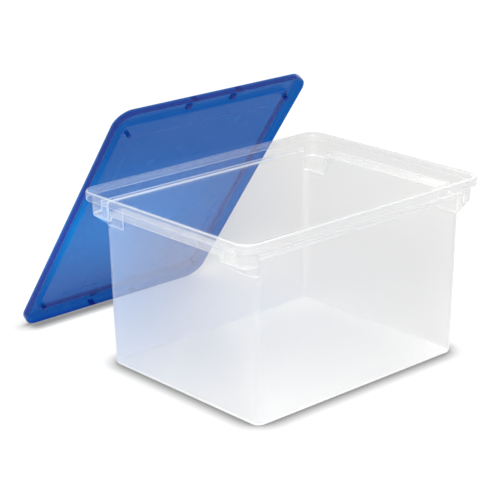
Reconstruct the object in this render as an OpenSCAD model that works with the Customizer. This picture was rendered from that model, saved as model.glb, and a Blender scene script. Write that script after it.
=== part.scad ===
// Portable file box: a clear tub with a shelf for hanging files, and its lid,
// taken off and stood on end behind the tub, leaning on the tub's rim.
// Origin: middle of the tub's underside. +X along the tub, +Y towards the lid, +Z up.

/* [Tub] */
// Length over the rim
tub_l = 466; // [400:1:600]
// Width over the rim
tub_w = 355; // [300:1:460]
// Height to the top of the rim
tub_h = 269; // [200:1:360]
// Outer radius of the rim's corners
rim_r = 26; // [24:1:40]
// Thickness of the walls
wall_t = 2; // [1.4:0.1:2.4]
// Thickness of the floor
floor_t = 2.4; // [1.6:0.1:4]
// Lean of the body's walls from upright, in degrees
body_draft = 0.95; // [0.5:0.05:1.5]
// Radius of the body's upright corners
body_r = 12; // [8:1:16]
// Radius of the edge where the walls meet the floor
foot_r = 2; // [2:0.5:6]

/* [Rim] */
// Height of the bead that hangs outside the collar
bead_h = 13; // [12:0.5:17]
// Distance from the collar's outside to the bead's outside
bead_out = 8.2; // [6:0.2:10]
// Radius of the bead's outer edge
bead_r = 3; // [2.6:0.2:4]
// Width of the rim's flat crest
rim_flat = 0.4; // [0.2:0.1:0.8]
// Lean of the collar's wall from upright, in degrees
collar_draft = 3; // [1:0.5:5]

/* [Shelf] */
// Drop from the rim's top to the shelf that hanging files rest on
shelf_drop = 22; // [20:1:32]
// Width of the shelf along the short sides
shelf_l = 23.4; // [20:0.2:34]
// Width of the shelf along the long sides
shelf_w = 7; // [6:0.5:20]

/* [Grips] */
// Length of the lip that each short side is carried by
grip_len = 228; // [150:2:230]
// Height of that lip below the shelf
grip_drop = 5; // [4:0.5:10]
// Height of the collar's lip below the shelf along the long sides
side_drop = 3.5; // [1:0.5:6]

/* [Corner pockets] */
// Length of a corner pocket, from the collar's outside, along the short side
pocket_len = 51.5; // [40:0.5:60]
// Height of a pocket's outer wall below the shelf
pocket_drop = 12.5; // [11:0.5:16]
// Height of a pocket's sloping underside
pocket_slope = 17.5; // [15:0.5:30]

/* [Lid] */
// Room between the rim and the inside of the lid's skirt, when closed
lid_fit = 0.35; // [0.2:0.05:1]
// Thickness of the lid's wall
lid_t = 2; // [1.4:0.1:2.4]
// Depth of the lid's skirt
skirt_d = 11.7; // [10.5:0.1:16]
// Radius of the edge between the lid's border and its skirt
lid_edge_r = 2.6; // [2.5:0.1:4]
// Width of the lid's border along its long sides
border_side = 20; // [16:1:24]
// Width of the lid's border at its ends
border_end = 28; // [26:1:34]
// Depth of the panel below the border, which holds the foot of a second box
panel_d = 6; // [3:0.5:7]
// Corner radius of the panel
panel_r = 16; // [10:1:24]
// Margin from the panel's edge to its thinner middle field
field_margin = 29; // [20:1:40]
// Depth of that middle field
field_d = 0.6; // [0.3:0.1:0.8]

/* [Lid fittings] */
// Diameter of the four locating posts
post_d = 7; // [5:0.5:9]
// Height of the posts past the skirt's free edge
post_past = 5; // [2:0.5:7]
// Distance from the panel's long edges to the posts' middles
post_in_x = 8; // [6:0.5:12]
// Distance from the panel's ends to the posts' middles
post_in_y = 12; // [6:0.5:16]
// Width and length of a snap block
snap_w = 9.5; // [7:0.5:12]
// Height of a snap block
snap_h = 2.4; // [1.5:0.1:3]
// Distance between the middles of two snap blocks
snap_gap = 84; // [60:2:120]
// Distance from the lid's end to a snap block's middle
snap_in = 20.5; // [18:0.5:21]
// Thickness of the pad on the skirt beside each snap block
pad_t = 1.2; // [0.8:0.1:1.6]

/* [Lid at rest] */
// Lean of the lid from upright, in degrees
lid_lean = 35.05; // [20:0.05:40]
// Shift of the leaning lid along the tub
lid_x = -35.4; // [-45:0.1:45]
// Gap between the lid's skirt and the rim it leans on
lean_gap = 0.3; // [0.2:0.1:1]

/* [Hidden] */
$fn = 48;
eps = 0.01;
clear = 1;

tub_color = "gainsboro";
lid_color = "royalblue";

// The rim's inner edge is rounded over all that its bead and crest leave.
rim_in_r = bead_out + wall_t - bead_r - rim_flat;

// The collar's outside narrows downwards from the bead's lower edge.
bead_z = tub_h - bead_h;
shelf_top = tub_h - shelf_drop;
shelf_under = shelf_top - wall_t;
fold_z = shelf_under - pocket_drop;
slope_z = fold_z - pocket_slope;

// The collar's wall ends a little below the pockets' fold, in a narrow flat edge.
edge_z = fold_z - 0.4;

// The pockets' blocks stay this far inside the collar's curved wall.
skin = 0.3;
function collar_in(z) = bead_out + max(0, bead_z - z) * tan(collar_draft);

// The body's outside, below the shelf.
shelf_collar = collar_in(shelf_top) + wall_t;
body_top_l = tub_l - 2 * (shelf_collar + shelf_l) + 2 * wall_t;
body_top_w = tub_w - 2 * (shelf_collar + shelf_w) + 2 * wall_t;
function body_in(z) = (shelf_top - z) * tan(body_draft);

// Upright thickness of the sloping pocket floor, less what its inset takes.
slope_a = atan(pocket_slope / shelf_l);
slope_up = wall_t * (1 - sin(slope_a)) / cos(slope_a);
pocket_y = tub_w / 2 - collar_in(shelf_top) - pocket_len;
pocket_x = body_top_l / 2 - wall_t / 2;

// The lid's skirt is sized to go over the rim.
lid_w = tub_w + 2 * (lid_fit + lid_t);
lid_l = tub_l + 2 * (lid_fit + lid_t);
lid_r = rim_r + lid_fit + lid_t;
panel_l = lid_l - 2 * border_end;
panel_w = lid_w - 2 * border_side;
panel_in = panel_d + lid_t;

// The lid stands on the free edge of its skirt and leans on the bead's outer edge.
lid_z = skirt_d * sin(lid_lean);
lean_y = tub_w / 2 - bead_r;
lean_z = tub_h - bead_r;
lean_out = skirt_d + bead_r + lean_gap;
lid_y = lean_y + (lean_out + sin(lid_lean) * (lean_z - lid_z)) / cos(lid_lean);

// Flat rounded rectangle, with true arcs.
module round_rect(l, w, r) {
    square([l - 2 * r, w], center = true);
    square([l, w - 2 * r], center = true);
    for (x = [-1, 1], y = [-1, 1])
        translate([x * (l / 2 - r), y * (w / 2 - r)])
            circle(r = r);
}

// Thin level of a stack that a hull joins: a rounded rectangle drawn in by inset.
module level(l, w, r, inset, z) {
    translate([0, 0, z])
        linear_extrude(eps)
            round_rect(l - 2 * inset, w - 2 * inset, r);
}

// Quarter of a ring, its outside towards +X and +Y.
module quarter_ring(r, t) {
    intersection() {
        difference() {
            circle(r = r);
            circle(r = r - t);
        }
        square(r);
    }
}

// Carries a profile round a rounded rectangle: profile X is outwards from its edge.
module around(l, w, r) {
    for (side = [0:3]) {
        span = side % 2 == 0 ? [l, w] : [w, l];
        rotate([0, 0, 90 * side]) {
            translate([span.x / 2 - r, span.y / 2 - r, 0])
                rotate_extrude(angle = 90)
                    translate([r, 0])
                        children();
            translate([span.x / 2, span.y / 2 - r, 0])
                rotate([90, 0, 0])
                    linear_extrude(span.y - 2 * r)
                        children();
        }
    }
}

// Section of the rim: bead, rolled top and the collar's wall down to the fold.
module rim_profile() {
    translate([-wall_t, bead_z])
        square([wall_t, bead_h - bead_r]);
    translate([-bead_r, tub_h - bead_r])
        quarter_ring(bead_r, wall_t);
    translate([-bead_r - rim_flat, tub_h - wall_t])
        square([rim_flat, wall_t]);
    translate([-bead_r - rim_flat, tub_h - rim_in_r])
        mirror([1, 0])
            quarter_ring(rim_in_r, wall_t);
    polygon([
        [-collar_in(edge_z), edge_z],
        [-bead_out, bead_z],
        [-bead_out, tub_h - rim_in_r],
        [-bead_out - wall_t, tub_h - rim_in_r],
        [-bead_out - wall_t, bead_z],
        [-collar_in(edge_z) - wall_t, edge_z]
    ]);
}

// Between the pockets the collar's wall ends in a lip, higher on the long sides.
module collar_cuts() {
    low = fold_z - clear;
    cut_l = 2 * pocket_x;
    for (y = [-1, 1])
        translate([-cut_l / 2, y > 0 ? tub_w / 4 : -tub_w * 3 / 4, low])
            cube([cut_l, tub_w / 2, shelf_under - side_drop - low]);
    lip_z = shelf_under - grip_drop;
    half = grip_len / 2;
    run = pocket_y + wall_t - half;
    for (x = [-1, 1])
        translate([x > 0 ? pocket_x + shelf_l / 2 : -tub_l / 2 - clear, 0, 0])
            rotate([90, 0, 90])
                linear_extrude(tub_l / 2 + clear - pocket_x - shelf_l / 2)
                    polygon([
                        [-half - run, low],
                        [-half - run, edge_z],
                        [-half, lip_z],
                        [half, lip_z],
                        [half + run, edge_z],
                        [half + run, low]
                    ]);
}

// Block with the body's leaning walls, drawn in by inset, from floor level z.
module body_block(inset, z, top) {
    r = body_r - inset;
    foot = foot_r - inset / 2;
    mid = (1 - sqrt(0.5)) * foot;
    hull() {
        level(body_top_l, body_top_w, r - foot, inset + body_in(z) + foot, z);
        level(body_top_l, body_top_w, r - mid, inset + body_in(z) + mid, z + mid);
        level(body_top_l, body_top_w, r, inset + body_in(z + foot), z + foot);
        level(body_top_l, body_top_w, r, inset + body_in(top), top);
    }
}

// Block whose sides are the pockets' outer walls and sloping undersides.
// The slopes run on into the body's wall, so that they end inside it.
module pocket_block(inset, rise, top) {
    top_in = collar_in(top) + inset + skin;
    fold_in = collar_in(fold_z) + inset + skin;
    low_in = inset + wall_t / 2;
    low_z = slope_z + rise - tan(slope_a) * wall_t / 2;
    hull() {
        level(tub_l, tub_w, rim_r - top_in, top_in, top - eps);
        level(tub_l, tub_w, rim_r - fold_in, fold_in, fold_z + rise);
        level(body_top_l, body_top_w, body_r - low_in, low_in + body_in(slope_z), low_z);
    }
}

// The four corners that the pockets take, each drawn in by inset.
module pocket_corners(inset) {
    for (x = [0, 1], y = [0, 1])
        mirror([x, 0, 0])
            mirror([0, y, 0])
                translate([pocket_x + inset, pocket_y + inset, 0])
                    cube([tub_l, tub_w, tub_h]);
}

// Way from each pocket into the tub, through the straight end of the short wall.
module pocket_mouths() {
    mouth_y = pocket_y + wall_t;
    mouth_end = body_top_w / 2 - body_r;
    for (x = [0, 1], y = [0, 1])
        mirror([x, 0, 0])
            mirror([0, y, 0])
                translate([body_top_l / 4, mouth_y, 0])
                    cube([tub_l, mouth_end - mouth_y, tub_h]);
}

module tub() {
    color(tub_color)
        difference() {
            union() {
                difference() {
                    around(tub_l, tub_w, rim_r)
                        rim_profile();
                    collar_cuts();
                }
                translate([0, 0, shelf_under])
                    linear_extrude(wall_t)
                        round_rect(
                            tub_l - 2 * collar_in(shelf_top),
                            tub_w - 2 * collar_in(shelf_top),
                            rim_r - collar_in(shelf_top)
                        );
                body_block(0, 0, shelf_top - eps);
                intersection() {
                    pocket_block(0, 0, shelf_top);
                    pocket_corners(0);
                }
            }
            body_block(wall_t, floor_t, shelf_top + clear);
            intersection() {
                pocket_block(wall_t, slope_up, shelf_top + eps);
                union() {
                    pocket_corners(wall_t);
                    pocket_mouths();
                }
            }
        }
}

// The lid lying with its outside on Z = 0 and its inside up, long way along Y.
module lid_flat() {
    difference() {
        union() {
            around(lid_w, lid_l, lid_r)
                lid_edge_profile();
            linear_extrude(lid_t)
                round_rect(lid_w - 2 * lid_edge_r, lid_l - 2 * lid_edge_r, lid_r - lid_edge_r);
            linear_extrude(panel_in)
                round_rect(panel_w, panel_l, panel_r);
            lid_fittings();
        }
        translate([0, 0, -clear])
            linear_extrude(panel_d + clear)
                round_rect(panel_w - 2 * lid_t, panel_l - 2 * lid_t, panel_r - lid_t);
        translate([0, 0, panel_in - field_d])
            linear_extrude(clear)
                round_rect(panel_w - 2 * field_margin, panel_l - 2 * field_margin, panel_r);
    }
}

// Section of the lid's edge: rounded corner and skirt.
module lid_edge_profile() {
    translate([-lid_edge_r, lid_edge_r])
        mirror([0, 1])
            quarter_ring(lid_edge_r, lid_t);
    translate([-lid_t, lid_edge_r])
        square([lid_t, skirt_d - lid_edge_r]);
}

// Locating posts on the panel, and snap blocks with their pads at the ends.
module lid_fittings() {
    root_z = lid_t - clear;
    for (x = [0, 1], y = [0, 1])
        mirror([x, 0, 0])
            mirror([0, y, 0]) {
                translate([panel_w / 2 - post_in_x, panel_l / 2 - post_in_y, panel_d])
                    cylinder(d = post_d, h = skirt_d + post_past - panel_d);
                translate([(snap_gap - snap_w) / 2, lid_l / 2 - snap_in - snap_w / 2, root_z])
                    cube([snap_w, snap_w, snap_h + clear]);
                translate([(snap_gap - snap_w) / 2, lid_l / 2 - lid_t - pad_t, root_z])
                    cube([snap_w, pad_t + clear, skirt_d - root_z]);
            }
}

module lid() {
    color(lid_color)
        translate([lid_x, lid_y, lid_z])
            rotate([90 + lid_lean, 0, 0])
                translate([0, lid_l / 2, 0])
                    lid_flat();
}

tub();
lid();
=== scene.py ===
"""Portable file box: a clear moulded tub for hanging files, and its blue lid leaning on the rim."""
import math

import bmesh
import bpy
from bpy.props import FloatProperty, FloatVectorProperty, PointerProperty
from mathutils import Matrix, Vector


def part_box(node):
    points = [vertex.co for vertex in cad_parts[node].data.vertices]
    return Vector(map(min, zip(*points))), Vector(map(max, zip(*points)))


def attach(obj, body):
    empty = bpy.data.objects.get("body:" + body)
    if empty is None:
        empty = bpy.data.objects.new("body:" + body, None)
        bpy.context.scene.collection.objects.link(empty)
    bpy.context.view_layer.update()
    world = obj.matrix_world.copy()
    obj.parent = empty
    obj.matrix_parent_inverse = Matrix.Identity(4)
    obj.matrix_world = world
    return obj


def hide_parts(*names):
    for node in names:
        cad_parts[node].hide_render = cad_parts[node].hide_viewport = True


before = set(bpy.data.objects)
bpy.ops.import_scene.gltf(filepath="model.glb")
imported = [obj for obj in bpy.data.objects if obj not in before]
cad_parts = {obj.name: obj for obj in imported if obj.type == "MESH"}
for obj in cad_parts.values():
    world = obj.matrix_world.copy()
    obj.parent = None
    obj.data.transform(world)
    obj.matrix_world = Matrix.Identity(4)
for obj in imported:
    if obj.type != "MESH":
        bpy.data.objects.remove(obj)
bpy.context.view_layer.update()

bl_info = {
    "name": "Portable file box",
    "version": (1, 0, 0),
    "blender": (4, 5, 0),
    "location": "View3D > Sidebar > File box",
    "description": "Builds a translucent file tub, its leaning lid and a plain white stage",
    "category": "Add Mesh",
}

MM = 0.001
TUB_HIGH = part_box("tub")[1]
LID_LOW, LID_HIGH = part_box("lid")

# Two numbers on each face, which the plastic reads: how milky the face is, and how far it is an
# edge that carries a painted highlight line. Both run from 0 to 1.
MARKS = ("milk", "edge")

# The tub's milk: on the body's ends, on its long sides, added in the middle of its upright
# corners, on the bead, and on top of the rim. The corners' addition is a painted highlight: a
# pale band down the middle of each upright corner. The floor, shelf and lips are at 1, and the
# collar's wall is at 0.
END_MILK = 0.5
SIDE_MILK = 0.16
CORNER_HIGHLIGHT_MILK = 0.3
BEAD_MILK = 0.3
TOP_MILK = 0.5

# The lid's fittings start this far inside the wall that they stand on.
SINK = 0.5 * MM

# The board lies this far under the tub, so that the two share no plane. It is square, and this
# is half its side in metres.
BOARD_DROP = 0.3 * MM
BOARD_HALF = 12

# The soft boxes: setting, size and place, in metres. They face a point near the tub's middle.
SOFT_BOXES = (
    ("key", 0.8, (-1.2, -1.4, 1.3)),
    ("side", 0.8, (-2.0, 0, 1.0)),
    ("back", 0.5, (1.7, 0.9, 1.0)),
)
BOX_TARGET = (0, 0, 0.15)

# The spot stands behind the lid and aims between the lid's lower half and the tub, in metres.
SPOT_PLACE = (0.85, 0.85, 0.42)
SPOT_TARGET = (-0.16, 0.22, 0.16)

# Colours of the lamps' light, as linear RGB.
WARM_WHITE = (1.0, 0.985, 0.95)
GREEN_CYAN = (0.18, 1.0, 0.62)


def linear(code):
    """Linear RGB of an sRGB hex colour such as #8899aa."""
    parts = [int(code[i : i + 2], 16) / 255 for i in (1, 3, 5)]
    return tuple(p / 12.92 if p <= 0.04045 else ((p + 0.055) / 1.055) ** 2.4 for p in parts)


def length(name, text, value, low=0.0, high=1.0):
    """A length property whose default is given in millimetres, and its limits in metres."""
    return FloatProperty(
        name=name, description=text, default=value * MM, min=low, max=high, precision=4, unit="LENGTH"
    )


def angle(name, text, value, low=0.0):
    """An angle property whose default and lower limit are given in degrees."""
    limits = {"min": math.radians(low), "max": math.pi / 2}
    return FloatProperty(name=name, description=text, default=math.radians(value), unit="ROTATION", **limits)


def watts(name, text, value):
    """A lamp's power."""
    return FloatProperty(name=name, description=text, default=value, min=0.0, unit="POWER")


def colour(name, text, code):
    """A colour property whose default is given as sRGB hex."""
    return FloatVectorProperty(
        name=name, description=text, default=linear(code), min=0.0, max=1.0, size=3, subtype="COLOR"
    )


def factor(name, text, value, high=1.0):
    """A plain number between 0 and high."""
    return FloatProperty(name=name, description=text, default=value, min=0.0, max=high, subtype="FACTOR")


class FILEBOX_PG_tub(bpy.types.PropertyGroup):
    """Sizes of the tub. Its length, width and height come from the frame."""

    rim_radius: length("Rim corners", "Outer radius of the rim's corners", 26)
    wall: length("Walls", "Thickness of the walls", 2)
    floor: length("Floor", "Thickness of the floor", 2.4)
    body_lean: angle("Body lean", "Lean of the body's walls from upright", 0.95)
    body_radius: length("Body corners", "Radius of the body's upright corners", 12)
    foot_radius: length("Foot", "Radius between the walls and the underside", 2)
    bead_height: length("Bead height", "Height of the bead outside the collar", 13)
    bead_out: length("Bead reach", "From the collar's outside to the bead's outside", 8.2)
    bead_radius: length("Bead edge", "Radius of the bead's outer edge", 3)
    crest: length("Crest", "Width of the rim's flat crest", 0.4)
    collar_lean: angle("Collar lean", "Lean of the collar's wall from upright", 3)
    shelf_drop: length("Shelf drop", "From the rim's top to the file shelf", 22)
    shelf_short: length("Shelf, short sides", "Width of the shelf along the short sides", 23.4)
    shelf_long: length("Shelf, long sides", "Width of the shelf along the long sides", 7)
    grip_length: length("Grip", "Length of the lip on each short side", 228)
    grip_drop: length("Grip drop", "Height of the lip below the shelf", 5)
    side_drop: length("Long lip drop", "Height of the long sides' lip below the shelf", 3.5)
    pocket_length: length("Pocket", "Length of a corner pocket along the short side", 51.5)
    pocket_drop: length("Pocket wall", "Height of a pocket's outer wall below the shelf", 12.5)
    pocket_slope: length("Pocket slope", "Height of a pocket's sloping underside", 17.5)


class FILEBOX_PG_lid(bpy.types.PropertyGroup):
    """Sizes of the lid and how it leans."""

    fit: length("Fit", "Room between the rim and the skirt, when closed", 0.35)
    wall: length("Wall", "Thickness of the lid", 2)
    skirt: length("Skirt", "Depth of the skirt", 11.7)
    edge_radius: length("Edge", "Radius between the border and the skirt", 2.6)
    border_side: length("Border, long sides", "Width of the border along the long sides", 20)
    border_end: length("Border, ends", "Width of the border at the ends", 28)
    panel_depth: length("Panel depth", "Depth of the panel below the border", 6)
    panel_radius: length("Panel corners", "Radius of the panel's corners", 16)
    field_margin: length("Field margin", "From the panel's edge to its thinner field", 29)
    field_depth: length("Field depth", "Depth of the thinner middle field", 0.6)
    post_width: length("Post", "Diameter of a locating post", 7)
    post_past: length("Post reach", "Height of a post past the skirt", 5)
    post_in_x: length("Post, side", "From the panel's long edge to a post's middle", 8)
    post_in_y: length("Post, end", "From the panel's end to a post's middle", 12)
    snap_width: length("Snap block", "Width and length of a snap block", 9.5)
    snap_height: length("Snap height", "Height of a snap block", 2.4)
    snap_gap: length("Snap gap", "Between the middles of two snap blocks", 84)
    snap_in: length("Snap place", "From the lid's end to a snap block's middle", 20.5)
    pad_depth: length("Pad", "Thickness of the pad on the skirt", 1.2)
    lean: angle("Lean", "Lean of the lid from upright", 35.05)
    gap: length("Gap", "Between the skirt and the rim it leans on", 0.3)


class FILEBOX_PG_finish(bpy.types.PropertyGroup):
    """Colours and clearness of the two plastics."""

    tub_body: colour("Tub haze", "Colour of the light that the undyed plastic scatters", "#fbfbfa")
    tub_tint: colour("Tub tint", "Colour left in light that crosses one face of the tub", "#ffffff")
    tub_haze: factor("Tub haze share", "Share of light that one face of the tub scatters", 0.035)
    lid_body: colour("Lid haze", "Colour that the blue plastic sends back", "#2a48a8")
    lid_glow: colour("Lid glow", "Colour of the light that the blue plastic scatters forwards", "#28a8e0")
    lid_tint: colour("Lid tint", "Colour left in light that crosses one face of the lid", "#58a4de")
    lid_haze: factor("Lid haze share", "Share of light that one face of the lid scatters", 0.15)


class FILEBOX_PG_stage(bpy.types.PropertyGroup):
    """Light and camera."""

    ambient: factor("Ambient", "Strength of the light from all round", 0.6, 4.0)
    key: watts("Key lamp", "Power of the front lamp in watts", 50)
    side: watts("Side lamp", "Power of the left lamp in watts", 5)
    back: watts("Back lamp", "Power of the right rear lamp in watts", 4)
    glow: watts("Lid lamp", "Power of the spot behind the lid in watts", 440)
    lens: length("Lens", "Focal length on a 36 mm sensor", 122.41)
    azimuth: angle("Azimuth", "Camera's turn about the tub", -42.09, -180)
    roll: angle("Roll", "Camera's turn about its own axis", -0.58, -90)
    elevation: angle("Elevation", "Camera's height above the horizon", 19.0)
    distance: length("Distance", "From the camera to the tub's foot", 2523.3, high=9.0)
    shift_x: length("Left", "How far the camera stands to the left of the tub's foot", 50.31)
    shift_y: length("Up", "How far the camera stands above the tub's foot", 157.1)


# --- Outlines and rings ---------------------------------------------------------------------


class Outline:
    """A rounded rectangle: half length, half width and corner radius."""

    def __init__(self, a, b, r):
        self.a, self.b, self.r = a, b, r

    def grown(self, by):
        """The outline moved outwards by a distance."""
        return Outline(self.a + by, self.b + by, self.r + by)

    def towards(self, other, share):
        """The outline part of the way to another."""
        mix = lambda p, q: p + (q - p) * share
        return Outline(mix(self.a, other.a), mix(self.b, other.b), mix(self.r, other.r))

    def on_ray(self, centre, turn):
        """Where a ray from centre, inside the first quarter, meets the outline."""
        cx, cy = centre
        dx, dy = math.cos(turn), math.sin(turn)
        flat_a, flat_b = self.a - self.r, self.b - self.r
        y = cy + (self.a - cx) * dy / dx
        if y <= flat_b:
            return self.a, y
        x = cx + (self.b - cy) * dx / dy
        if x <= flat_a:
            return x, self.b
        px, py = cx - flat_a, cy - flat_b
        half = px * dx + py * dy
        reach = -half + math.sqrt(half * half - px * px - py * py + self.r * self.r)
        return cx + reach * dx, cy + reach * dy


class Column:
    """One place on the way round a ring: on an X side, on a Y side, or at a corner."""

    def __init__(self, side, sx, sy, value):
        self.side, self.sx, self.sy, self.value = side, sx, sy, value

    def at(self, outline, centre):
        """The column's X and Y on an outline whose corners are seen from centre."""
        if self.side == "x":
            return self.sx * outline.a, self.value * centre[1]
        if self.side == "y":
            return self.value * centre[0], self.sy * outline.b
        x, y = outline.on_ray(centre, self.value)
        return self.sx * x, self.sy * y


def columns_round(x_steps, y_steps, turns):
    """Columns once round, anticlockwise from above. Steps run from 0 to 1 of a straight side."""
    up_x = sorted({s * v for v in x_steps for s in (-1, 1)})
    up_y = sorted({s * v for v in y_steps for s in (-1, 1)})
    made = []
    made += [Column("x", 1, 0, v) for v in up_x]
    made += [Column("corner", 1, 1, v) for v in turns]
    made += [Column("y", 0, 1, v) for v in reversed(up_y)]
    made += [Column("corner", -1, 1, v) for v in reversed(turns)]
    made += [Column("x", -1, 0, v) for v in reversed(up_x)]
    made += [Column("corner", -1, -1, v) for v in turns]
    made += [Column("y", 0, -1, v) for v in up_y]
    made += [Column("corner", 1, -1, v) for v in reversed(turns)]
    return made


def quarter_arc(steps):
    """Sine and cosine pairs over a quarter turn."""
    return [(math.sin(math.pi / 2 * i / steps), math.cos(math.pi / 2 * i / steps)) for i in range(steps + 1)]


def shell_from_rings(columns, profile):
    """A closed shell of the rings that profile(column) lists, from one middle to the other.

    A point is (outline, centre, height, milk, edge). Its two marks go to the face that follows it,
    and the flat ends take those of the first column's first and last points.
    """
    mesh = bmesh.new()
    layers = [mesh.faces.layers.float.new(name) for name in MARKS]
    strips = []
    notes = []

    def mark(face, marks):
        """Writes the two marks on a face."""
        for layer, value in zip(layers, marks):
            face[layer] = value

    for column in columns:
        points = profile(column)
        strips.append([mesh.verts.new((*column.at(outline, centre), z)) for outline, centre, z, *_ in points])
        notes.append([marks for _, _, _, *marks in points])
    for i, strip in enumerate(strips):
        following = strips[(i + 1) % len(strips)]
        for k in range(len(strip) - 1):
            face = mesh.faces.new((strip[k], following[k], following[k + 1], strip[k + 1]))
            mark(face, notes[i][k])
    mark(mesh.faces.new([strip[0] for strip in reversed(strips)]), notes[0][0])
    mark(mesh.faces.new([strip[-1] for strip in strips]), notes[0][-1])
    return mesh


def make_piece(name, mesh, body, material):
    """Turns a bmesh into a smooth-shaded piece that rides on a body."""
    data = bpy.data.meshes.new(name)
    mesh.normal_update()
    mesh.to_mesh(data)
    mesh.free()
    data.materials.append(material)
    data.shade_smooth()
    piece = bpy.data.objects.new(name, data)
    bpy.context.scene.collection.objects.link(piece)
    # Large flat faces keep their own direction beside small fillets.
    weighted = piece.modifiers.new("even flats", "WEIGHTED_NORMAL")
    weighted.mode = "FACE_AREA"
    weighted.weight = 80
    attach(piece, body)
    return piece


# --- Tub ------------------------------------------------------------------------------------


class TubShape:
    """The tub's outlines and heights, worked out from its settings."""

    def __init__(self, s):
        self.s = s
        self.rim = Outline(TUB_HIGH.x, TUB_HIGH.y, s.rim_radius)
        self.top = TUB_HIGH.z
        self.bead_z = self.top - s.bead_height
        self.shelf_top = self.top - s.shelf_drop
        self.shelf_under = self.shelf_top - s.wall
        self.fold = self.shelf_under - s.pocket_drop
        self.slope_end = self.fold - s.pocket_slope
        shelf_edge = self.collar_in(self.shelf_top) + s.wall
        self.body_top = Outline(
            self.rim.a - shelf_edge - s.shelf_short + s.wall,
            self.rim.b - shelf_edge - s.shelf_long + s.wall,
            s.body_radius,
        )
        self.corner = (self.body_top.a - s.body_radius, self.body_top.b - s.body_radius)
        self.slope = math.atan(s.pocket_slope / s.shelf_short)
        self.slope_up = s.wall * (1 - math.sin(self.slope)) / math.cos(self.slope)
        self.pocket_y = self.rim.b - self.collar_in(self.shelf_top) - s.pocket_length
        self.pocket_x = self.body_top.a - s.wall / 2

    def collar_in(self, z):
        """How far the collar's outside lies inside the rim's outline at a height."""
        return self.s.bead_out + max(0.0, self.bead_z - z) * math.tan(self.s.collar_lean)

    def collar(self, z, out=0.0):
        """The collar's outside at a height, moved outwards."""
        return self.rim.grown(out - self.collar_in(z))

    def body(self, z, out=0.0):
        """The body's outside at a height, moved outwards. Its corner radius stays."""
        drawn = (self.shelf_top - z) * math.tan(self.s.body_lean)
        return Outline(self.body_top.a - drawn + out, self.body_top.b - drawn + out, self.s.body_radius + out)

    def body_ring(self, z, out=0.0):
        """A profile point on the body's wall, seen from the corner at its own height."""
        drawn = (self.shelf_top - z) * math.tan(self.s.body_lean)
        return self.body(z, out), (self.corner[0] - drawn, self.corner[1] - drawn), z


def tub_columns(shape):
    """Columns with extra ones where the grips and pockets begin.

    The places are distances from the middle of a short side.
    """
    straight = shape.corner[1]
    grip_end = shape.s.grip_length / 2
    step = 0.25 * MM
    places = [0, 40 * MM, 75 * MM, grip_end - 8 * MM, grip_end - 1 * MM, grip_end, grip_end + 1 * MM]
    places += [shape.pocket_y - 1.4 * MM]
    for wall in (shape.pocket_y, shape.pocket_y + shape.s.wall):
        places += [wall + k * step for k in (-3, -1, 0, 1, 3)]
    places += [shape.pocket_y + 4.5 * MM, shape.pocket_y + 9 * MM, shape.pocket_y + 16 * MM, straight]
    turns = {math.radians(3 * k) for k in range(1, 30)}
    small = math.radians(0.4)
    for end in pocket_turns(shape):
        turns = {t for t in turns if abs(t - end) > 4 * small}
        turns |= {end + k * small for k in (-3, -1, 0, 1, 3)}
    return columns_round([p / straight for p in places], [0, 0.25, 0.5, 0.75, 1], sorted(turns))


def pocket_turns(shape):
    """Turns, seen from the body's corner, at which a pocket's inside and outside end."""
    run = shape.rim.b - shape.collar_in(shape.fold) - shape.corner[1]
    inner = math.atan2(run - shape.s.wall, shape.pocket_x + shape.s.wall - shape.corner[0])
    outer = math.atan2(run, shape.pocket_x - shape.corner[0])
    return inner, outer


def step_share(value, edge, half):
    """0 before an edge, 1 after it, rounded over a short way either side."""
    t = min(1.0, max(0.0, (value - edge) / (2 * half) + 0.5))
    return t * t * (3 - 2 * t)


def tub_shares(shape, column):
    """How far a column is in a pocket, outside and inside, and how low its lip reaches."""
    s = shape.s
    half = 0.5 * MM
    side_lip = shape.shelf_under - s.side_drop
    if column.side == "y":
        return 0.0, 0.0, side_lip
    if column.side == "corner":
        inner, outer = pocket_turns(shape)
        soft = math.radians(0.8)
        out_share = 1 - step_share(column.value, outer, soft)
        return out_share, 1 - step_share(column.value, inner, soft), side_lip
    y = abs(column.value) * shape.corner[1]
    out_share = step_share(y, shape.pocket_y, half)
    in_share = step_share(y, shape.pocket_y + s.wall, half)
    lip = shape.shelf_under - s.grip_drop
    run = shape.pocket_y - s.grip_length / 2
    t = min(1.0, max(0.0, (y - s.grip_length / 2) / run))
    return out_share, in_share, lip + (shape.fold - lip) * t


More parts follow.
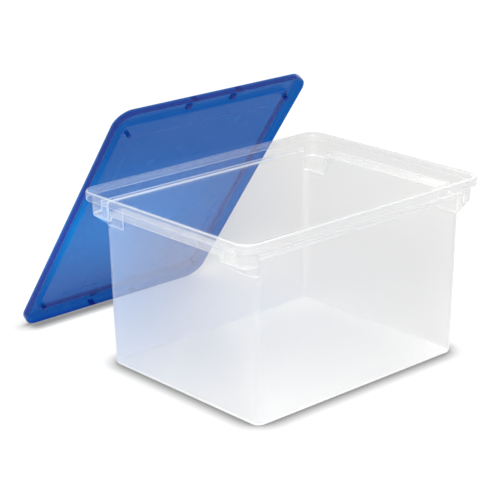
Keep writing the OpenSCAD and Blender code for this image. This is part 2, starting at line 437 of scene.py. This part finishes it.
def tub_profile(shape):
    """Gives the function that lists a column's points from the underside's middle to the floor's.

    The number pairs in the loops are steps round a small fillet in millimetres, in the directions
    that their names give. Milk of None stands for the body's own, which changes round the tub.
    """
    s = shape.s
    wall = s.wall
    tan = math.tan(shape.slope)
    heights = [12 * MM, 60 * MM, 120 * MM, 180 * MM, shape.slope_end - 12 * MM]

    def outside(share, lip):
        """The underside of the shelf or pocket, and the lip, from the body to the collar."""
        flat = shape.shelf_under
        edge, fold = shape.collar(flat), shape.collar(shape.fold)
        low = shape.slope_end
        plain, pocket = [], []
        for out, down in ((0, 6), (0, 2), (0.6, 0.6), (2, 0)):
            plain.append((shape.body(flat - down * MM, out * MM), flat - down * MM))
        for out, down in ((0, 6), (0, 1.6), (0.35, 0.35), (1.4, -1.4 * tan)):
            pocket.append((shape.body(low - down * MM, out * MM), low - down * MM))
        for u in (0.3, 0.65):
            plain.append((shape.body(flat).towards(edge, u), flat))
            pocket.append((shape.body(low).towards(fold, u), low + s.pocket_slope * u))
        hang = [(3.2, 0, 0), (2.3, 0.1, 0.03), (2.0, 0.6, 0.1), (2.0, 0, -0.6), (1.6, 0, -0.12)]
        hang += [(1.0, 0, 0), (0.4, 0, -0.12), (0.0, 0, -0.6)]
        for i, (back, down, up) in enumerate(hang):
            z = flat - down * MM if i < 3 else lip - up * MM
            plain.append((shape.collar(z, -back * MM), z))
        turn = [(3.2, 0), (2.5, 0), (1.9, 0), (1.4, 0), (0.95, 0.03), (0.55, 0.12), (0.2, 0.4), (0, 1)]
        for back, up in turn:
            z = shape.fold - back * MM * tan + up * MM
            pocket.append((fold.grown(-back * MM), z))
        # Rings that carry painted highlight lines: the fillet at the body and the lip's lower edge.
        at_body, at_lip = (1, 2), (10, 11, 12)
        return mixed(plain, pocket, share, milky=range(1, 14), clear=(), edges=at_body + at_lip)

    def inside(share):
        """The shelf's top or the pocket's floor, from the collar to the body."""
        edge = shape.collar(shape.shelf_top, -wall)
        body = shape.body_top.grown(-wall)
        foot = shape.body(shape.slope_end, -wall)
        flat = shape.shelf_top
        fold_z = shape.fold + shape.slope_up
        low = shape.slope_end + shape.slope_up
        fold = shape.collar(shape.fold, -wall)
        plain = [(edge, flat + 3 * MM), (edge, flat + 1.5 * MM), (edge.grown(-0.45 * MM), flat + 0.45 * MM)]
        pocket = [(edge, flat - 3 * MM), (fold, fold_z + 2 * MM), (fold.grown(-0.4 * MM), fold_z + 0.3 * MM)]
        plain.append((edge.grown(-1.5 * MM), flat))
        pocket.append((fold.grown(-1.6 * MM), fold_z - 1.6 * MM * tan))
        for u in (0.65, 0.3):
            plain.append((body.towards(edge, u), flat))
            pocket.append((foot.towards(fold, u), low + s.pocket_slope * u))
        for out, down in ((2, 0), (1.1, 0.22), (0.3, 0.95), (0, 2), (0, 6)):
            plain.append((body.grown(out * MM), flat - down * MM))
        for out, down in ((1.5, -1.5 * tan), (0.8, -0.5 * tan), (0.25, 0.6), (0, 1.6), (0, 6)):
            pocket.append((foot.grown(out * MM), low - down * MM))
        # Rings that carry painted highlight lines: the fillet at the collar and the shelf's inner edge.
        at_collar, at_body = (1, 2), (7, 8)
        return mixed(plain, pocket, share, milky=range(2, 10), clear=(0, 1), edges=at_collar + at_body)

    def mixed(plain, pocket, share, milky, clear, edges):
        """The rings between two ways across, with the numbers of the milky, clear and edge rings. Edge rings
        carry painted highlight lines.
        """
        made = []
        for i, ((p, pz), (q, qz)) in enumerate(zip(plain, pocket)):
            milk = 1.0 if i in milky else 0.0 if i in clear else None
            made.append((p.towards(q, share), shape.corner, pz + (qz - pz) * share, milk, float(i in edges)))
        return made

    def marked(row, milk, edge):
        """The row with other marks."""
        return (*row[:3], milk, edge)

    foot = s.foot_radius
    inner_foot = foot - wall / 2
    # Painted highlight lines on the floor's inner fillet and, stronger, at the floor's edge.
    fillet_highlight, floor_highlight = 0.1, 0.4
    under = [(*shape.body_ring(foot * (1 - c), -foot * (1 - sn)), None, 0.0) for sn, c in quarter_arc(5)]
    under[0] = marked(under[0], 1.0, 0.0)
    under += [(*shape.body_ring(z), None, 0.0) for z in heights]
    floor = [(*shape.body_ring(z, -wall), None, 0.0) for z in reversed(heights)]
    for sn, c in reversed(quarter_arc(4)):
        ring = shape.body_ring(s.floor + inner_foot * (1 - c), -wall - inner_foot * (1 - sn))
        floor.append((*ring, None, fillet_highlight))
    floor[-1] = marked(floor[-1], 1.0, floor_highlight)

    bead = []
    rim, top, radius = shape.rim, shape.top, s.bead_radius
    collar_face = shape.collar(shape.bead_z)

    def add(outline, z, edge=0.0, milk=BEAD_MILK):
        """One more ring of the rim, which goes over the bead and down inside the collar."""
        bead.append((outline, shape.corner, z, milk, edge))

    for z in (shape.shelf_top + 1 * MM, shape.bead_z - 1.5 * MM):
        add(shape.collar(z), z, milk=0.0)
    for out, down in ((0, 4), (0.25, 2.8), (1, 2.1)):
        add(collar_face.grown(out * MM), top - down * MM)
    for back, down in ((2.9, 2.1), (2.2, 2.8), (2, 4)):
        add(rim.grown(-back * MM), top - down * MM)
    # The bead's lower edge carries a painted highlight line.
    for back, up in ((2, 5), (2, 0.7), (1.75, 0.2), (1.2, 0), (0.8, 0), (0.25, 0.2), (0, 0.7), (0, 5)):
        add(rim.grown(-back * MM), shape.bead_z + up * MM, float(up < 0.5))
    # The bead's outer edge carries a painted highlight line, strongest halfway round.
    for sn, c in quarter_arc(6):
        add(rim.grown(-radius * (1 - c)), top - radius * (1 - sn), sn * c * 2, TOP_MILK)
    inner = s.bead_out + wall - radius - s.crest
    for sn, c in quarter_arc(6):
        add(rim.grown(-radius - s.crest - inner * sn), top - inner * (1 - c), 0.0, TOP_MILK)
    for z in (top - inner - 3 * MM, shape.bead_z):
        add(collar_face.grown(-wall), z, milk=0.0)

    def profile(column):
        """The column's points, each with its own milk where it has none."""
        out_share, in_share, lip = tub_shares(shape, column)
        # From 0 on an end to 1 on a long side, by the turn at a corner.
        to_side = {"x": 0.0, "y": 1.0}.get(column.side, column.value / (math.pi / 2))
        wall_milk = END_MILK + (SIDE_MILK - END_MILK) * step_share(to_side, 0.5, 0.5)
        # Painted highlight: a pale band down the middle of each upright corner.
        if column.side == "corner":
            wall_milk += CORNER_HIGHLIGHT_MILK * math.sin(2 * column.value)
        rows = under + outside(out_share, lip) + bead + inside(in_share) + floor
        return [(*row[:3], wall_milk if row[3] is None else row[3], row[4]) for row in rows]

    return profile


# --- Lid ------------------------------------------------------------------------------------


class LidShape:
    """The lid's outlines, lying flat with its inside up, and its place when it leans."""

    def __init__(self, s, tub):
        grow = s.fit + s.wall
        self.s = s
        self.edge = Outline(TUB_HIGH.y + grow, TUB_HIGH.x + grow, tub.rim_radius + grow)
        self.panel = Outline(self.edge.a - s.border_side, self.edge.b - s.border_end, s.panel_radius)
        margin = s.field_margin
        self.field = Outline(self.panel.a - margin, self.panel.b - margin, s.panel_radius)
        self.corner = (self.panel.a - self.panel.r, self.panel.b - self.panel.r)
        self.panel_in = s.panel_depth + s.wall
        foot_z = s.skirt * math.sin(s.lean)
        rim_y = TUB_HIGH.y - tub.bead_radius
        rim_z = TUB_HIGH.z - tub.bead_radius
        out = s.skirt + tub.bead_radius + s.gap
        lid_y = rim_y + (out + math.sin(s.lean) * (rim_z - foot_z)) / math.cos(s.lean)
        lid_x = (LID_LOW.x + LID_HIGH.x) / 2
        self.place = (
            Matrix.Translation((lid_x, lid_y, foot_z))
            @ Matrix.Rotation(math.pi / 2 + s.lean, 4, "X")
            @ Matrix.Translation((0, self.edge.b, 0))
        )


def lid_profile(shape):
    """Gives the function that lists a column's points from the outside's middle to the inside's.

    The number pairs in the loops are steps round a small fillet in millimetres.
    """
    s = shape.s
    wall, skirt, edge, panel, field = s.wall, s.skirt, shape.edge, shape.panel, shape.field
    field_corner = (field.a - field.r, field.b - field.r)
    points = []

    def add(outline, z, corner=shape.corner, edge=0.0):
        """One more ring of the lid."""
        points.append((outline, corner, z, 0.0, edge))

    recess = panel.grown(-wall)
    deep = s.panel_depth
    add(field, deep, field_corner)
    for back, down in ((4, 0), (1.2, 0), (0.35, 0.35), (0, 1.2)):
        add(recess.grown(-back * MM), deep - down * MM)
    for out, z in ((0, 1.3), (0.35, 0.38), (1.3, 0), (4, 0)):
        add(recess.grown(out * MM), z * MM)
    radius = s.edge_radius
    add(edge.grown(-radius - 3 * MM), 0)
    for sn, c in quarter_arc(5):
        add(edge.grown(-radius * (1 - sn)), radius * (1 - c))
    # The skirt's free edge carries a painted highlight line.
    for back, down in ((0, 4), (0, 0.7), (0.2, 0.2), (0.7, 0), (1.3, 0), (1.8, 0.2), (2, 0.7), (2, 4)):
        add(edge.grown(-back * MM), skirt - down * MM, edge=float(down < 0.5))
    for back, up in ((0, 1.6), (0.45, 0.45), (1.6, 0), (4, 0)):
        add(edge.grown(-wall - back * MM), wall + up * MM)
    for out, up in ((3, 0), (1, 0), (0.3, 0.3), (0, 1)):
        add(panel.grown(out * MM), wall + up * MM)
    # The panel's rim carries a painted highlight line.
    for back, down in ((0, 1.2), (0.35, 0.35), (1.2, 0), (4, 0)):
        add(panel.grown(-back * MM), shape.panel_in - down * MM, edge=float(down == 0.35))
    for out, down in ((1.2, 0), (0.5, 0), (0, s.field_depth / MM), (-0.7, s.field_depth / MM)):
        add(field.grown(out * MM), shape.panel_in - down * MM, field_corner)
    return lambda column: points


def add_post(mesh, x, y, base, top, radius):
    """A round locating post with a softened tip."""
    tip = 0.8 * MM
    levels = [(radius, base), (radius, top - tip)]
    levels += [(radius - tip * (1 - c), top - tip * (1 - sn)) for sn, c in quarter_arc(3)[1:]]
    sides = 28
    rings = []
    for r, z in levels:
        turns = [2 * math.pi * k / sides for k in range(sides)]
        rings.append([mesh.verts.new((x + r * math.cos(t), y + r * math.sin(t), z)) for t in turns])
    for low, high in zip(rings, rings[1:]):
        for k in range(sides):
            nxt = (k + 1) % sides
            mesh.faces.new((low[k], low[nxt], high[nxt], high[k]))
    mesh.faces.new(rings[-1])
    mesh.faces.new(list(reversed(rings[0])))


def add_block(mesh, low, high, edge):
    """A block between two corners, with rounded edges."""
    made = bmesh.ops.create_cube(mesh, size=1)["verts"]
    for v in made:
        v.co = Vector(low[i] + (v.co[i] + 0.5) * (high[i] - low[i]) for i in range(3))
    edges = list({e for v in made for e in v.link_edges})
    bmesh.ops.bevel(mesh, geom=edges, offset=edge, segments=3, profile=0.5, affect="EDGES")


def add_lid_fittings(mesh, shape):
    """The posts, the snap blocks and the pads on the skirt."""
    s = shape.s
    root = s.wall - SINK
    post_x, post_y = shape.panel.a - s.post_in_x, shape.panel.b - s.post_in_y
    half = s.snap_width / 2
    end = shape.edge.b
    for sx in (-1, 1):
        for sy in (-1, 1):
            base, top = shape.panel_in - SINK, s.skirt + s.post_past
            add_post(mesh, sx * post_x, sy * post_y, base, top, s.post_width / 2)
            x = sx * s.snap_gap / 2
            y = sy * (end - s.snap_in)
            high = (x + half, y + half, s.wall + s.snap_height)
            add_block(mesh, (x - half, y - half, root), high, 0.5 * MM)
            near, far = sorted((sy * (end - s.wall - s.pad_depth), sy * (end - s.wall / 2)))
            add_block(mesh, (x - half, near, root), (x + half, far, s.skirt - 0.1 * MM), 0.4 * MM)


# --- Materials ------------------------------------------------------------------------------


def add_node(tree, kind, settings=None, links=None):
    """Adds a node, sets its attributes and unlinked sockets, and links its other sockets."""
    made = tree.nodes.new(kind)
    for key, value in (settings or {}).items():
        if isinstance(key, str) and hasattr(made, key):
            setattr(made, key, value)
        else:
            made.inputs[key].default_value = value
    for key, source in (links or {}).items():
        tree.links.new(made.inputs[key], source)
    return made


def new_material(name):
    """An empty node material and its tree."""
    made = bpy.data.materials.new(name)
    made.use_nodes = True
    made.node_tree.nodes.clear()
    return made, made.node_tree


def opaque(rgb):
    """A colour with full alpha."""
    return (*rgb, 1.0)


def moulded_polypropylene(name, look):
    """Injection-moulded polypropylene: waxy, part clear, scattering a little of what crosses it.

    Its index is 1.49. Flow in the mould leaves broad, faint bands of haze about 60 mm long. Faces
    marked as milky scatter more, as thicker plastic does. Faces marked as edges scatter more too,
    and send less of it forwards, so that they show painted highlight lines.

    look holds the colours body (sent back), glow (sent forwards) and tint (let through), the share
    haze, what full milk and a full edge's painted highlight add to it, the roughness rough, and
    through, the part of the haze that goes forwards.
    """
    haze_bands = (0.93, 1.07)
    rough_bands = (0.9, 1.1)
    mirror_head_on, mirror_grazing = 0.02, 0.6
    highlight_loss = 0.2
    material, tree = new_material(name)
    place = add_node(tree, "ShaderNodeTexCoord").outputs["Object"]
    flow = add_node(
        tree,
        "ShaderNodeTexNoise",
        {"Scale": 1 / (60 * MM), "Detail": 2.0, "Roughness": 0.45},
        {"Vector": place},
    )
    share = add_node(
        tree,
        "ShaderNodeMapRange",
        {
            "From Min": 0.3,
            "From Max": 0.7,
            "To Min": look["haze"] * haze_bands[0],
            "To Max": look["haze"] * haze_bands[1],
        },
        {"Value": flow.outputs["Fac"]},
    ).outputs["Result"]
    marks = {}
    for mark in MARKS:
        marks[mark] = add_node(tree, "ShaderNodeAttribute", {"attribute_name": mark}).outputs["Fac"]
        share = add_node(
            tree, "ShaderNodeMath", {"operation": "MULTIPLY_ADD", 1: look[mark]}, {0: marks[mark], 2: share}
        ).outputs[0]
    sheen = add_node(
        tree,
        "ShaderNodeMapRange",
        {
            "From Min": 0.3,
            "From Max": 0.7,
            "To Min": look["rough"] * rough_bands[0],
            "To Max": look["rough"] * rough_bands[1],
        },
        {"Value": flow.outputs["Fac"]},
    )
    facing = add_node(tree, "ShaderNodeLayerWeight", {"Blend": 0.5})
    grazing = add_node(
        tree, "ShaderNodeMath", {"operation": "POWER", 1: 5.0}, {0: facing.outputs["Facing"]}
    )
    mirror = add_node(
        tree,
        "ShaderNodeMapRange",
        {"From Min": 0.0, "From Max": 1.0, "To Min": mirror_head_on, "To Max": mirror_grazing},
        {"Value": grazing.outputs["Value"]},
    )
    waxy = add_node(
        tree,
        "ShaderNodeBsdfPrincipled",
        {"Base Color": opaque(look["body"]), "IOR": 1.49, "Specular IOR Level": 0.1},
        {"Roughness": sheen.outputs["Result"]},
    )
    glow = add_node(tree, "ShaderNodeBsdfTranslucent", {"Color": opaque(look["glow"])})
    # Painted highlight: marked edges send less of their haze forwards, so they show as bright lines.
    forward = add_node(
        tree,
        "ShaderNodeMath",
        {"operation": "MULTIPLY_ADD", 1: -highlight_loss * look["through"], 2: look["through"]},
        {0: marks["edge"]},
    )
    milky = add_node(
        tree,
        "ShaderNodeMixShader",
        {},
        {0: forward.outputs[0], 1: waxy.outputs["BSDF"], 2: glow.outputs["BSDF"]},
    )
    clear = add_node(tree, "ShaderNodeBsdfTransparent", {"Color": opaque(look["tint"])})
    plastic = add_node(
        tree, "ShaderNodeMixShader", {}, {0: share, 1: clear.outputs["BSDF"], 2: milky.outputs["Shader"]}
    )
    gloss = add_node(
        tree,
        "ShaderNodeBsdfAnisotropic",
        {"Color": (1, 1, 1, 1)},
        {"Roughness": sheen.outputs["Result"]},
    )
    skinned = add_node(
        tree,
        "ShaderNodeMixShader",
        {},
        {0: mirror.outputs["Result"], 1: plastic.outputs["Shader"], 2: gloss.outputs["BSDF"]},
    )
    add_node(tree, "ShaderNodeOutputMaterial", {}, {"Surface": skinned.outputs["Shader"]})
    return material


def white_sweep():
    """Matt white board, which has two looks.

    Seen bare, it gives most of its light itself, so it is white, with painted contact shade, from
    ambient occlusion, close to what stands on it. Right under the tub, where the occlusion is
    full, painted light keeps it light, standing in for a board lit through a clear floor.
    Seen through the plastic, it is an ordinary white board that shows what the lamps put on it.
    """
    contact_reach = 34 * MM
    given, reflected = 0.92, 0.15
    material, tree = new_material("white_sweep")
    path = add_node(tree, "ShaderNodeLightPath").outputs
    seen = path["Is Camera Ray"]
    for kind in ("Is Glossy Ray", "Is Transmission Ray"):
        seen = add_node(tree, "ShaderNodeMath", {"operation": "MAXIMUM"}, {0: seen, 1: path[kind]}).outputs[0]
    bare = add_node(
        tree,
        "ShaderNodeMath",
        {"operation": "SUBTRACT", "use_clamp": True},
        {0: seen, 1: path["Transparent Depth"]},
    )
    board = add_node(tree, "ShaderNodeBsdfDiffuse", {"Color": (0.85, 0.85, 0.85, 1)})
    near = add_node(tree, "ShaderNodeAmbientOcclusion", {"samples": 8, "Distance": contact_reach})
    # Painted contact shade: the board darkens where the occlusion is high, close to what stands on it.
    painted_contact_shade = add_node(
        tree,
        "ShaderNodeMapRange",
        {"From Min": 0.5, "From Max": 0.97, "To Min": 0.27, "To Max": 1.0},
        {"Value": near.outputs["AO"]},
    )
    # Painted light right under the tub, where the occlusion is nearly full.
    under = add_node(
        tree,
        "ShaderNodeMapRange",
        {"From Min": 0.1, "From Max": 0.3, "To Min": 0.9, "To Max": 0.0},
        {"Value": near.outputs["AO"]},
    )
    light = add_node(
        tree, "ShaderNodeMath", {"operation": "MAXIMUM"}, {0: painted_contact_shade.outputs[0], 1: under.outputs[0]}
    )
    lamplit = add_node(tree, "ShaderNodeMath", {"operation": "MULTIPLY", 1: reflected}, {0: light.outputs[0]})
    shaded = add_node(tree, "ShaderNodeBsdfDiffuse", {}, {"Color": lamplit.outputs[0]})
    strength = add_node(tree, "ShaderNodeMath", {"operation": "MULTIPLY", 1: given}, {0: light.outputs[0]})
    lit = add_node(tree, "ShaderNodeEmission", {}, {"Strength": strength.outputs[0]})
    white = add_node(tree, "ShaderNodeAddShader", {}, {0: shaded.outputs[0], 1: lit.outputs[0]})
    mix = add_node(
        tree, "ShaderNodeMixShader", {}, {0: bare.outputs[0], 1: board.outputs[0], 2: white.outputs[0]}
    )
    add_node(tree, "ShaderNodeOutputMaterial", {}, {"Surface": mix.outputs[0]})
    return material


# --- Operators ------------------------------------------------------------------------------


class FILEBOX_OT_tub(bpy.types.Operator):
    """Moulds the clear tub, with its rim, shelf, grips and corner pockets"""

    bl_idname = "filebox.make_tub"
    bl_label = "Make the tub"

    def execute(self, context):
        finish = context.scene.filebox_finish
        shape = TubShape(context.scene.filebox_tub)
        mesh = shell_from_rings(tub_columns(shape), tub_profile(shape))
        look = {"body": finish.tub_body, "glow": finish.tub_body, "tint": finish.tub_tint}
        # edge sets how much the painted highlight lines add to the haze.
        look |= {"haze": finish.tub_haze, "milk": 0.2, "edge": 0.35, "rough": 0.22, "through": 0.85}
        material = moulded_polypropylene("undyed_polypropylene", look)
        piece = make_piece("tub_moulding", mesh, "tub", material)
        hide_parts("tub")
        return {"FINISHED"}


class FILEBOX_OT_lid(bpy.types.Operator):
    """Moulds the blue lid and leans it on the tub's rim"""

    bl_idname = "filebox.make_lid"
    bl_label = "Make the lid"

    def execute(self, context):
        finish = context.scene.filebox_finish
        shape = LidShape(context.scene.filebox_lid, context.scene.filebox_tub)
        turns = [math.radians(4 * k) for k in range(1, 23)]
        steps = [0, 0.2, 0.4, 0.6, 0.8, 1]
        mesh = shell_from_rings(columns_round(steps, steps, turns), lid_profile(shape))
        add_lid_fittings(mesh, shape)
        bmesh.ops.transform(mesh, matrix=shape.place, verts=mesh.verts)
        look = {"body": finish.lid_body, "glow": finish.lid_glow, "tint": finish.lid_tint}
        # edge sets how much the painted highlight lines add to the haze.
        look |= {"haze": finish.lid_haze, "milk": 0.0, "edge": 0.1, "rough": 0.3, "through": 0.7}
        material = moulded_polypropylene("blue_polypropylene", look)
        piece = make_piece("lid_moulding", mesh, "lid", material)
        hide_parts("lid")
        return {"FINISHED"}


def hang_lamp(data, power, light_colour, place, target):
    """Hangs a lamp of a given power and colour at a place, facing a point."""
    data.energy = power
    data.color = light_colour
    lamp = bpy.data.objects.new(data.name, data)
    lamp.location = place
    lamp.rotation_euler = (Vector(target) - Vector(place)).to_track_quat("-Z", "Y").to_euler()
    bpy.context.scene.collection.objects.link(lamp)


def add_lamps(s):
    """The square soft boxes, and a narrow spot that adds green-cyan light to the leaning lid."""
    for name, size, place in SOFT_BOXES:
        box = bpy.data.lights.new(f"{name}_lamp", "AREA")
        box.size = size
        hang_lamp(box, getattr(s, name), WARM_WHITE, place, BOX_TARGET)
    spot = bpy.data.lights.new("lid_lamp", "SPOT")
    spot.spot_size = math.radians(9)
    spot.spot_blend = 0.4
    spot.shadow_soft_size = 0.1
    hang_lamp(spot, s.glow, GREEN_CYAN, SPOT_PLACE, SPOT_TARGET)


def add_board(scene):
    """The white board under everything."""
    data = bpy.data.meshes.new("white_floor")
    mesh = bmesh.new()
    level = Matrix.Translation((0, 0, -BOARD_DROP))
    bmesh.ops.create_grid(mesh, x_segments=1, y_segments=1, size=BOARD_HALF, matrix=level)
    mesh.to_mesh(data)
    mesh.free()
    data.materials.append(white_sweep())
    floor = bpy.data.objects.new("white_floor", data)
    scene.collection.objects.link(floor)


def add_camera(scene, s):
    """The camera, turned about the tub's foot, then rolled and shifted in its own plane."""
    az, el = s.azimuth, s.elevation
    back = Vector((math.sin(az) * math.cos(el), -math.cos(az) * math.cos(el), math.sin(el)))
    level = Vector((0, 0, 1)).cross(back).normalized()
    right = level * math.cos(s.roll) + back.cross(level) * math.sin(s.roll)
    up = back.cross(right)
    lens = bpy.data.cameras.new("camera")
    lens.sensor_width = 36
    lens.lens = s.lens / MM
    camera = bpy.data.objects.new("camera", lens)
    camera.location = back * s.distance - right * s.shift_x + up * s.shift_y
    camera.rotation_mode = "QUATERNION"
    camera.rotation_quaternion = Matrix((right, up, back)).transposed().to_quaternion()
    scene.collection.objects.link(camera)
    scene.camera = camera


def light_all_round(scene, strength):
    """A world that lights evenly and that the camera and reflections see as plain white."""
    world = bpy.data.worlds.new("white_room")
    world.use_nodes = True
    scene.world = world
    tree = world.node_tree
    tree.nodes.clear()
    path = add_node(tree, "ShaderNodeLightPath").outputs
    dim = add_node(
        tree,
        "ShaderNodeMapRange",
        {"To Min": 1.0, "To Max": strength},
        {"Value": path["Is Diffuse Ray"]},
    )
    room = add_node(tree, "ShaderNodeBackground", {"Color": (1, 1, 1, 1)}, {"Strength": dim.outputs[0]})
    add_node(tree, "ShaderNodeOutputWorld", {}, {"Surface": room.outputs[0]})


class FILEBOX_OT_stage(bpy.types.Operator):
    """Sets the white floor, the soft lamps and the camera"""

    bl_idname = "filebox.make_stage"
    bl_label = "Make the stage"

    def execute(self, context):
        scene = context.scene
        s = scene.filebox_stage
        scene.view_settings.view_transform = "Standard"
        # A ray can cross many faces of both pieces before it meets the board.
        scene.cycles.transparent_max_bounces = 32
        light_all_round(scene, s.ambient)
        add_board(scene)
        add_lamps(s)
        add_camera(scene, s)
        return {"FINISHED"}


class FILEBOX_PT_panel(bpy.types.Panel):
    """Lists the settings and the steps that build the box"""

    bl_idname = "FILEBOX_PT_panel"
    bl_label = "File box"
    bl_space_type = "VIEW_3D"
    bl_region_type = "UI"
    bl_category = "File box"

    def draw(self, context):
        for name, operator in STEPS:
            box = self.layout.box()
            group = getattr(context.scene, name)
            for key in group.__annotations__:
                box.prop(group, key)
            if operator:
                box.operator(operator.bl_idname)


GROUPS = {
    "filebox_tub": FILEBOX_PG_tub,
    "filebox_lid": FILEBOX_PG_lid,
    "filebox_finish": FILEBOX_PG_finish,
    "filebox_stage": FILEBOX_PG_stage,
}
STEPS = [
    ("filebox_finish", None),
    ("filebox_tub", FILEBOX_OT_tub),
    ("filebox_lid", FILEBOX_OT_lid),
    ("filebox_stage", FILEBOX_OT_stage),
]
CLASSES = [*GROUPS.values(), FILEBOX_OT_tub, FILEBOX_OT_lid, FILEBOX_OT_stage, FILEBOX_PT_panel]


def register():
    for cls in CLASSES:
        bpy.utils.register_class(cls)
    for name, group in GROUPS.items():
        setattr(bpy.types.Scene, name, PointerProperty(type=group))


def unregister():
    for name in GROUPS:
        delattr(bpy.types.Scene, name)
    for cls in reversed(CLASSES):
        bpy.utils.unregister_class(cls)


def main():
    """Builds everything."""
    register()
    bpy.ops.filebox.make_stage()
    bpy.ops.filebox.make_tub()
    bpy.ops.filebox.make_lid()


if __name__ == "__main__":
    main()
